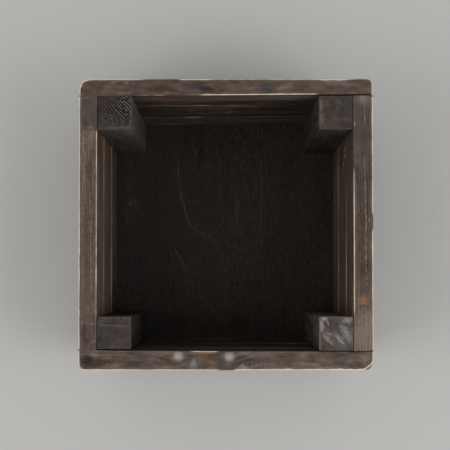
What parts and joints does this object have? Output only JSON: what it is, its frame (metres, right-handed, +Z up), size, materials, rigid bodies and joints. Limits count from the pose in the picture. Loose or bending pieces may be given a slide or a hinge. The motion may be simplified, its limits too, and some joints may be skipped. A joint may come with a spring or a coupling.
{
  "type": "open wooden box",
  "caption": "Open-topped, nearly square wooden box: stacked-board walls nailed to corner posts over a plywood base, in a dark stain worn pale along the edges.",
  "frame": {"origin": "centre of the underside, on the surface the box stands on", "axes": "+Z up; +X to the right along the front wall; +Y from the front wall to the back wall"},
  "size_m": [0.305, 0.302, 0.2032],
  "materials": {
    "wall_boards": "dark brown stain, rubbed back to pale wood along the edges",
    "posts": "dark stain over sawn wood, grey end grain",
    "plywood": "near-black brown stain, lightly scratched",
    "nails": "dull dark steel with light rust"
  },
  "bodies": {
    "root": {"front_board_bottom": "wall_boards", "front_board_middle": "wall_boards", "front_board_top": "wall_boards", "back_board_bottom": "wall_boards", "back_board_middle": "wall_boards", "back_board_top": "wall_boards", "left_board_bottom": "wall_boards", "left_board_middle": "wall_boards", "left_board_top": "wall_boards", "right_board_bottom": "wall_boards", "right_board_middle": "wall_boards", "right_board_top": "wall_boards", "post_front_left": "posts", "post_front_right": "posts", "post_back_left": "posts", "post_back_right": "posts", "base_panel": "plywood", "nails_front": "nails", "nails_back": "nails", "nails_left": "nails", "nails_right": "nails", "nails_base": "nails"}
  },
  "joints": []
}
